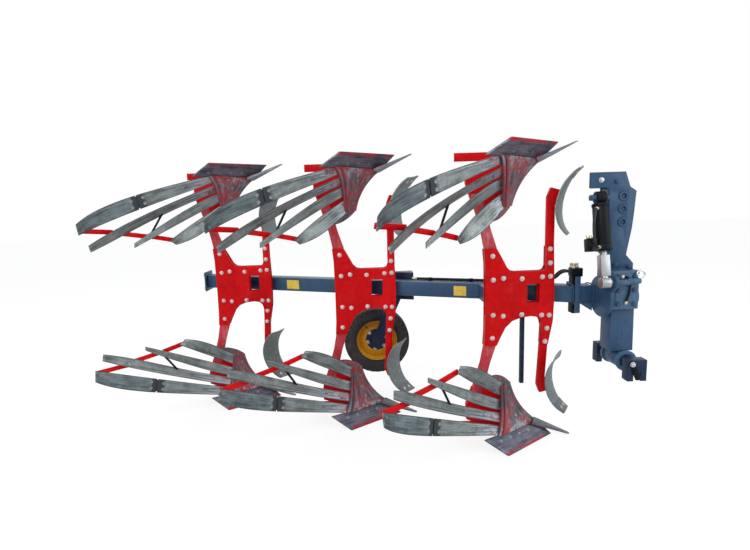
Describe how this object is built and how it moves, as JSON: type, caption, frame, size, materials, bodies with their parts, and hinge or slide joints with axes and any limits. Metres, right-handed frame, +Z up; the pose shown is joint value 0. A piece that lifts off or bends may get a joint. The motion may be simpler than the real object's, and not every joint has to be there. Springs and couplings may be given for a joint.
{
  "type": "mounted reversible plough",
  "caption": "Mounted reversible plough: oblique beam with paired slatted bodies, skimmers, depth wheel, parking stand and a turnover headstock driven by a cylinder.",
  "frame": {"origin": "below the middle of the bounding box, on the ground that the lower shares stand on", "axes": "+X the way of travel with the headstock in front, +Y towards the unploughed side and the depth wheel, +Z up"},
  "size_m": [3.2884, 1.7428, 1.754],
  "materials": {
    "red_paint": "gloss red paint",
    "leg_paint": "worn red paint",
    "share_steel": "dark worn steel",
    "board_steel": "scoured grey steel",
    "blue_paint": "slate blue paint",
    "navy_paint": "dark blue paint",
    "black_paint": "satin black paint",
    "rod_chrome": "polished",
    "tyre_rubber": "matt black rubber",
    "yellow_paint": "golden yellow paint"
  },
  "bodies": {
    "headstock": {"headstock_tower": "blue_paint", "turnover_housing": "blue_paint", "headstock_leg": "blue_paint", "cross_shaft": "blue_paint"},
    "frame": {"front_near_plate": "red_paint", "front_far_plate": "red_paint", "front_skimmer_lower": "red_paint", "front_skimmer_upper": "red_paint", "front_leg_lower": "leg_paint", "front_leg_upper": "leg_paint", "front_frog_lower": "red_paint", "front_frog_upper": "red_paint", "front_share_lower": "share_steel", "front_share_upper": "share_steel", "front_mouldboard_lower": "board_steel", "front_mouldboard_upper": "board_steel", "front_landside_lower": "red_paint", "front_landside_upper": "red_paint", "middle_near_plate": "red_paint", "middle_far_plate": "red_paint", "middle_skimmer_lower": "red_paint", "middle_skimmer_upper": "red_paint", "middle_leg_lower": "leg_paint", "middle_leg_upper": "leg_paint", "middle_frog_lower": "red_paint", "middle_frog_upper": "red_paint", "middle_share_lower": "share_steel", "middle_share_upper": "share_steel", "middle_mouldboard_lower": "board_steel", "middle_mouldboard_upper": "board_steel", "middle_landside_lower": "red_paint", "middle_landside_upper": "red_paint", "rear_near_plate": "red_paint", "rear_far_plate": "red_paint", "rear_skimmer_lower": "red_paint", "rear_skimmer_upper": "red_paint", "rear_leg_lower": "leg_paint", "rear_leg_upper": "leg_paint", "rear_frog_lower": "red_paint", "rear_frog_upper": "red_paint", "rear_share_lower": "share_steel", "rear_share_upper": "share_steel", "rear_mouldboard_lower": "board_steel", "rear_mouldboard_upper": "board_steel", "rear_landside_lower": "red_paint", "rear_landside_upper": "red_paint", "beam": "blue_paint", "beam_end_plate": "blue_paint", "neck_clamp": "black_paint", "turnover_shaft": "blue_paint", "stand_socket": "blue_paint", "wheel_bracket": "navy_paint"},
    "barrel": {"cylinder_barrel": "black_paint", "valve_block": "black_paint"},
    "rod": {"cylinder_rod": "rod_chrome"},
    "wheel_arm": {"wheel_arm": "navy_paint"},
    "wheel": {"wheel_rim": "yellow_paint", "wheel_tyre": "tyre_rubber"},
    "stand": {"stand_leg": "navy_paint"}
  },
  "joints": [
    {"name": "turnover", "type": "hinge", "parent": "headstock", "child": "frame", "pos_m": [1.45419, -0.38537, 0.877], "axis": [-1, 0, 0], "range_deg": [0, 180]},
    {"name": "cylinder_swing", "type": "hinge", "parent": "headstock", "child": "barrel", "pos_m": [1.40119, -0.43037, 1.432], "axis": [1, 0, 0], "range_deg": [0, 25.55]},
    {"name": "rod_stroke", "type": "slide", "parent": "barrel", "child": "rod", "axis": [0, -0.1836, -0.983], "range_m": [0, 0.2152]},
    {"name": "wheel_swing", "type": "hinge", "parent": "frame", "child": "wheel_arm", "pos_m": [0.36519, 0.27863, 0.877], "axis": [0, 1, 0], "range_deg": [0, 139.25]},
    {"name": "wheel_spin", "type": "hinge", "parent": "wheel_arm", "child": "wheel", "pos_m": [0.18319, 0.60463, 0.387], "axis": [0, 1, 0], "continuous": true},
    {"name": "stand_slide", "type": "slide", "parent": "frame", "child": "stand", "axis": [0, 0, -1], "range_m": [0, 0.12]}
  ],
  "couplings": [
    {"joint": "cylinder_swing", "follows": "turnover", "ratio": 0.14189},
    {"joint": "rod_stroke", "follows": "turnover", "m_per_rad": 0.06847}
  ]
}
